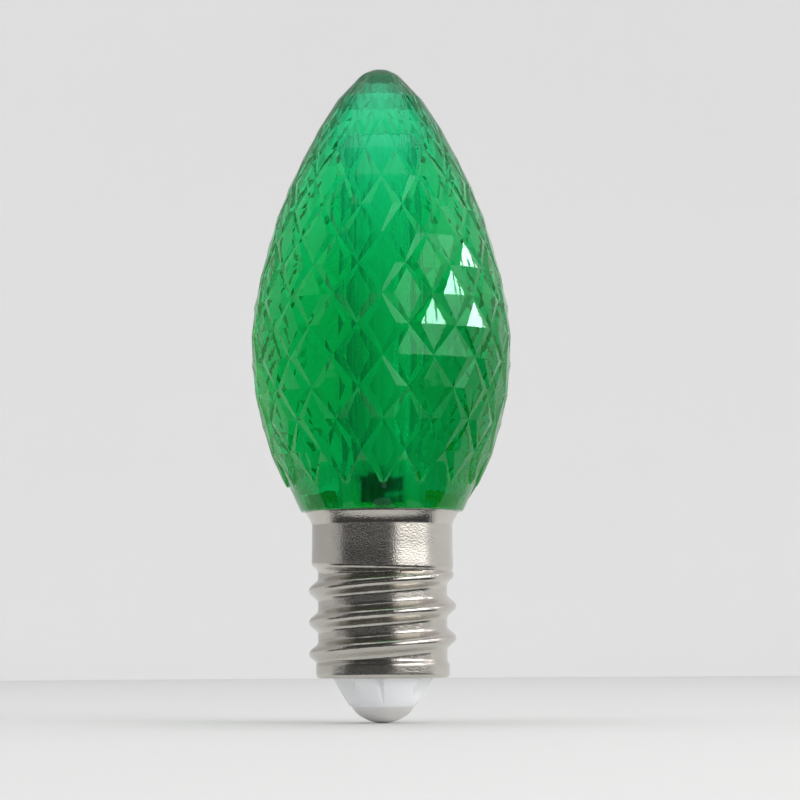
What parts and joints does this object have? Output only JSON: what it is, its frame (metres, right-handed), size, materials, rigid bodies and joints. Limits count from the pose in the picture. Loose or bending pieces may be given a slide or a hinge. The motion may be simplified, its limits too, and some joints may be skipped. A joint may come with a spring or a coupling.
{
  "type": "christmas light bulb",
  "caption": "Green clear-plastic LED string-light bulb: a pointed, diamond-faceted lens on a threaded candelabra screw base with a white insulator and a domed centre contact.",
  "frame": {"origin": "lowest point of the domed centre contact, on the axis of the lamp, where it meets the bottom of the socket", "axes": "+Z along the axis of the lamp from the contact to the tip of the lens; -Y is the side that the picture shows"},
  "size_m": [0.021, 0.021, 0.0531],
  "materials": {
    "green_lens": "polished, clear, tinted through",
    "nickel_plate": "nickel plated, slightly grained",
    "white_insulator": "glossy moulding",
    "board": "solder resist",
    "emitter": "clear resin over a pale phosphor",
    "chip_body": "moulded epoxy",
    "capacitor_body": "fired",
    "tinned": "tinned"
  },
  "bodies": {
    "root": {"lens": "green_lens", "base_shell": "nickel_plate", "insulator": "white_insulator", "centre_contact": "nickel_plate", "led_board": "board", "led": "emitter", "led_terminals": "tinned", "tab_diode": "chip_body", "tab_diode_ends": "tinned", "resistors": "chip_body", "resistor_ends": "tinned", "capacitor": "capacitor_body", "capacitor_ends": "tinned", "rectifier": "chip_body", "rectifier_legs": "tinned", "contact_lead": "tinned", "shell_lead": "tinned", "solder_joints": "tinned"}
  },
  "joints": []
}
